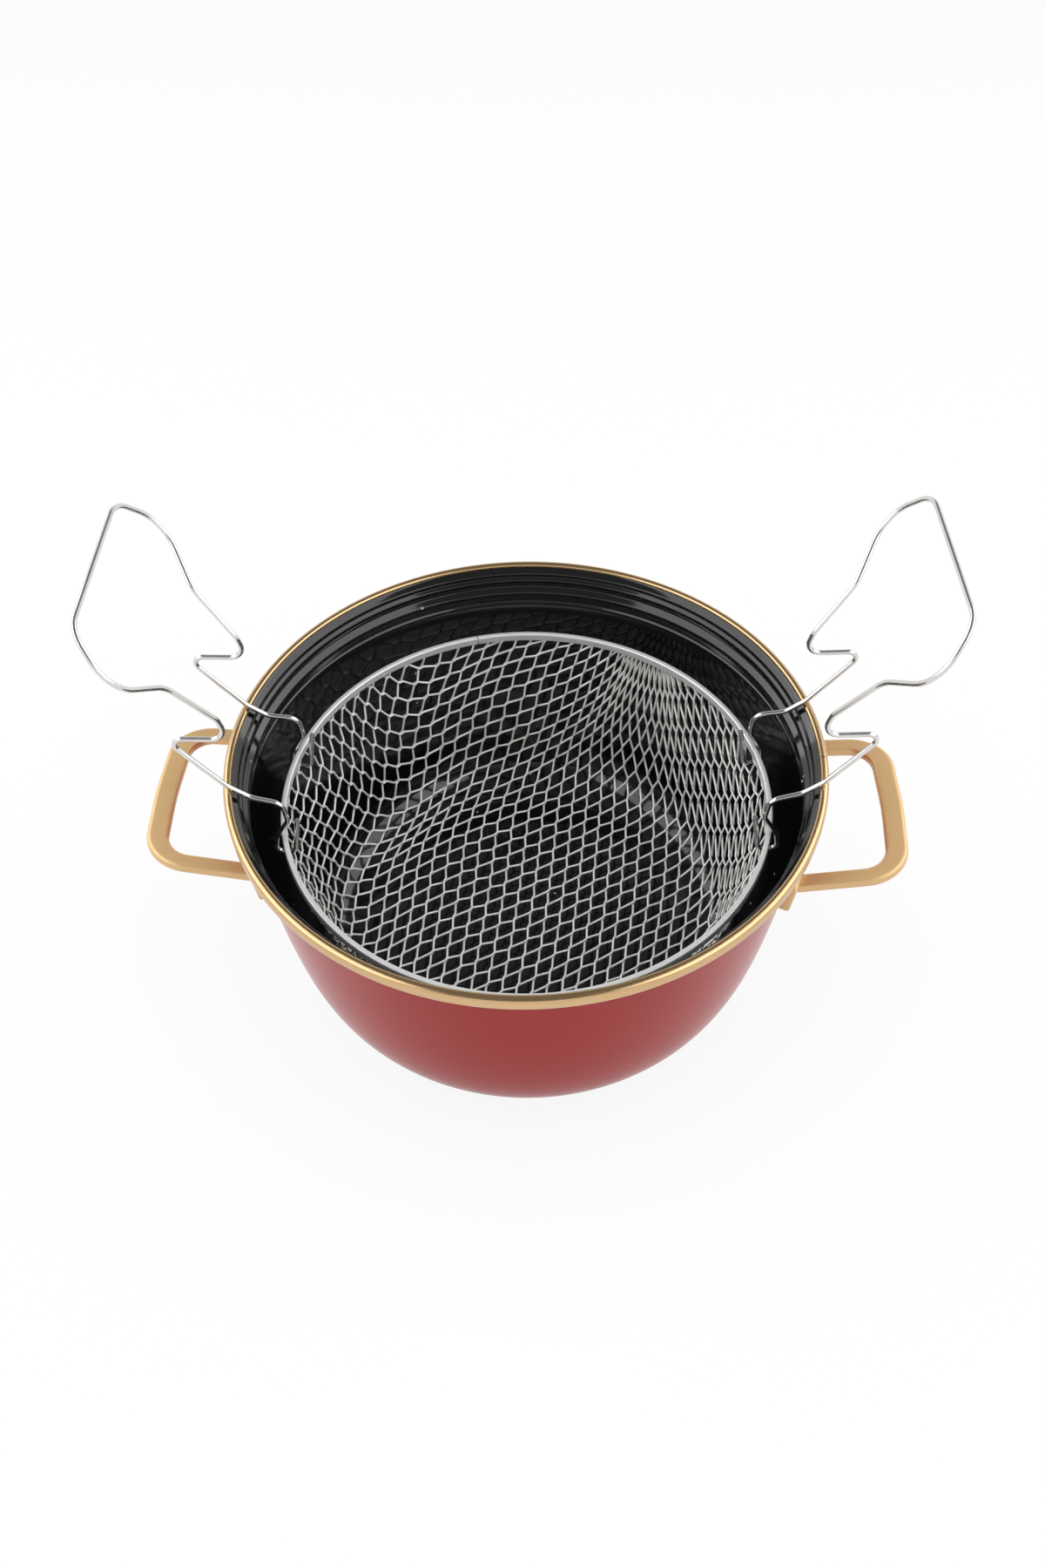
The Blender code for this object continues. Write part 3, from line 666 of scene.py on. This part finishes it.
# Wire handles. Each is one springy plated wire. Its hooks hang round the hoop, its legs lie over
# the pot's rim and turn back into a shelf for draining, and the rest is a spade-shaped grip.
WIRE = 0.0022
LEG_SPREAD = 0.023793
RIM_RISE = POT_HEIGHT - HINGE_HEIGHT
REST_REACH = math.sqrt(0.12248**2 - LEG_SPREAD**2) - HINGE_REACH
REST_RISE = RIM_RISE + 0.0014
HALF_HANDLE = [
    ((-0.0066, HOOK_SPREAD, 0.0116), 0),
    ((-0.0036, HOOK_SPREAD, -0.0084), 0.0030),
    ((0.0048, HOOK_SPREAD, -0.0084), 0.0030),
    ((0.003288, HOOK_SPREAD, 0.0008), 0.0030),
    ((-0.0026, HOOK_SPREAD, 0.0108), 0.0045),
    ((-0.0016, HOOK_SPREAD, RIM_RISE - 0.0072), 0.0060),
    ((REST_REACH - 0.0085, LEG_SPREAD, REST_RISE - 0.0062), 0.0100),
    ((REST_REACH, LEG_SPREAD, REST_RISE + 0.0003), 0.0100),
    ((0.1414 - HINGE_REACH, LEG_SPREAD, RIM_RISE + 0.0290), 0.0036),
    ((0.1156 - HINGE_REACH, LEG_SPREAD, RIM_RISE + 0.0290), 0.0055),
]
GRIP_SLOPE = math.radians(54.7)
GRIP_REACH = 0.1186 - HINGE_REACH
GRIP_RISE = RIM_RISE + 0.0402
GRIP = ((0, LEG_SPREAD, 0.0100), (0.0265, 0.0287, 0.0140), (0.0480, 0.0497, 0.0170), (0.0704, 0.0369, 0.0120))
for length, spread, bend_radius in GRIP:
    reach = GRIP_REACH + length * math.cos(GRIP_SLOPE)
    rise = GRIP_RISE + length * math.sin(GRIP_SLOPE)
    HALF_HANDLE.append(((reach, spread, rise), bend_radius))
other_half = [((x, -y, z), bend_radius) for (x, y, z), bend_radius in reversed(HALF_HANDLE)]
wire_line = bent_line(HALF_HANDLE + other_half, math.radians(9))
for side_word, turn in (("left", math.pi - HANDLE_TURN), ("right", HANDLE_TURN)):
    angle = BASKET_TURN + turn
    seat = Vector((HINGE_REACH * math.cos(angle), HINGE_REACH * math.sin(angle), HINGE_HEIGHT))
    placed = Matrix.Translation(seat) @ Matrix.Rotation(angle, 4, "Z")
    line = [placed @ point for point in wire_line]
    wire = drawn_wire(f"{side_word}_wire_handle_bent", [line], WIRE, 3, 50)
    wire.data.materials.append(bright_wire)
    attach(wire, f"{side_word}_wire_handle")
    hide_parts(f"{side_word}_basket_handle")


# Floor, light and camera. A pale floor and soft lamps either side and above, as in a studio,
# and a camera in front of the pot that looks down at 47 degrees.
FLOOR_TONE = 0.80
FLOOR_WHITE = 0.9
FLOOR_SHINE = 0.6
ROOM_LIGHT = 0.30
CEILING = 0.22
LAMP_AIM = (0, 0, 0.08)


def shine_rays(nodes, links, path):
    """1 for glossy and transmission rays, or else 0."""
    either = nodes.new("ShaderNodeMath")
    either.use_clamp = True
    links.new(path.outputs["Is Glossy Ray"], either.inputs[0])
    links.new(path.outputs["Is Transmission Ray"], either.inputs[1])
    return either.outputs[0]


bpy.ops.object.select_all(action="DESELECT")
bpy.ops.mesh.primitive_plane_add(size=8)
floor = bpy.context.object
floor.name = "floor"
floor_look = bpy.data.materials.new("pale floor")
floor_look.use_nodes = True
nodes, links = floor_look.node_tree.nodes, floor_look.node_tree.links
nodes["Principled BSDF"].inputs["Base Color"].default_value = (FLOOR_TONE, FLOOR_TONE, FLOOR_TONE, 1)
nodes["Principled BSDF"].inputs["Roughness"].default_value = 0.9
glow = nodes.new("ShaderNodeEmission")
path = nodes.new("ShaderNodeLightPath")
shine = nodes.new("ShaderNodeMath")
shine.operation = "MULTIPLY"
shine.inputs[1].default_value = FLOOR_SHINE
share = nodes.new("ShaderNodeMix")
share.inputs["B"].default_value = FLOOR_WHITE
blend = nodes.new("ShaderNodeMixShader")
links.new(shine_rays(nodes, links, path), shine.inputs[0])
links.new(shine.outputs[0], share.inputs["A"])
links.new(path.outputs["Is Camera Ray"], share.inputs["Factor"])
links.new(share.outputs["Result"], blend.inputs[0])
links.new(nodes["Principled BSDF"].outputs[0], blend.inputs[1])
links.new(glow.outputs[0], blend.inputs[2])
links.new(blend.outputs[0], nodes["Material Output"].inputs[0])
floor.data.materials.append(floor_look)

world = bpy.data.worlds.new("studio")
bpy.context.scene.world = world
world.use_nodes = True
nodes, links = world.node_tree.nodes, world.node_tree.links
room = nodes["Background"]
room.inputs["Color"].default_value = (1, 1, 1, 1)
path = nodes.new("ShaderNodeLightPath")
way = nodes.new("ShaderNodeTexCoord")
split = nodes.new("ShaderNodeSeparateXYZ")
fade = nodes.new("ShaderNodeMapRange")
fade.interpolation_type = "SMOOTHSTEP"
fade.inputs["From Min"].default_value = 0.30
fade.inputs["From Max"].default_value = 0.60
fade.inputs["To Min"].default_value = 1.0
fade.inputs["To Max"].default_value = CEILING
shine = nodes.new("ShaderNodeMix")
shine.inputs["A"].default_value = ROOM_LIGHT
level = nodes.new("ShaderNodeMix")
level.inputs["B"].default_value = 1.0
links.new(way.outputs["Generated"], split.inputs[0])
links.new(split.outputs["Z"], fade.inputs["Value"])
links.new(shine_rays(nodes, links, path), shine.inputs["Factor"])
links.new(fade.outputs["Result"], shine.inputs["B"])
links.new(path.outputs["Is Camera Ray"], level.inputs["Factor"])
links.new(shine.outputs["Result"], level.inputs["A"])
links.new(level.outputs["Result"], room.inputs["Strength"])

# The top lamp only lifts the shade, and gloss doesn't show it.
for name, place, width, height, power, in_gloss in (
    ("left lamp", (-1.05, -0.05, 0.85), 2.4, 0.95, 13, True),
    ("right lamp", (1.05, -0.05, 0.85), 2.4, 0.95, 13, True),
    ("top lamp", (0.0, 0.1, 1.4), 1.5, 1.2, 12, False),
):
    bpy.ops.object.light_add(type="AREA", location=place)
    lamp = bpy.context.object
    lamp.name = name
    lamp.data.shape = "RECTANGLE"
    lamp.data.size = width
    lamp.data.size_y = height
    lamp.data.energy = power
    lamp.visible_glossy = in_gloss
    lamp.rotation_euler = (Vector(LAMP_AIM) - Vector(place)).to_track_quat("-Z", "Y").to_euler()

look = Vector((-0.03665, 0.67673, -0.73532)).normalized()
level_right = Vector((math.cos(math.radians(3.1)), math.sin(math.radians(3.1)), 0))
level_up = level_right.cross(look)
roll = math.radians(-1.22)
right = level_right * math.cos(roll) + level_up * math.sin(roll)
up = level_up * math.cos(roll) - level_right * math.sin(roll)
bpy.ops.object.camera_add(location=(0.02233, -0.43981, 0.57968))
camera = bpy.context.object
camera.name = "camera"
camera.rotation_euler = Matrix((right, up, -look)).transposed().to_euler()
camera.data.sensor_fit = "VERTICAL"
camera.data.sensor_height = 36
camera.data.lens = 35.14
camera.data.clip_start = 0.01
bpy.context.scene.camera = camera
bpy.context.scene.view_settings.view_transform = "Standard"
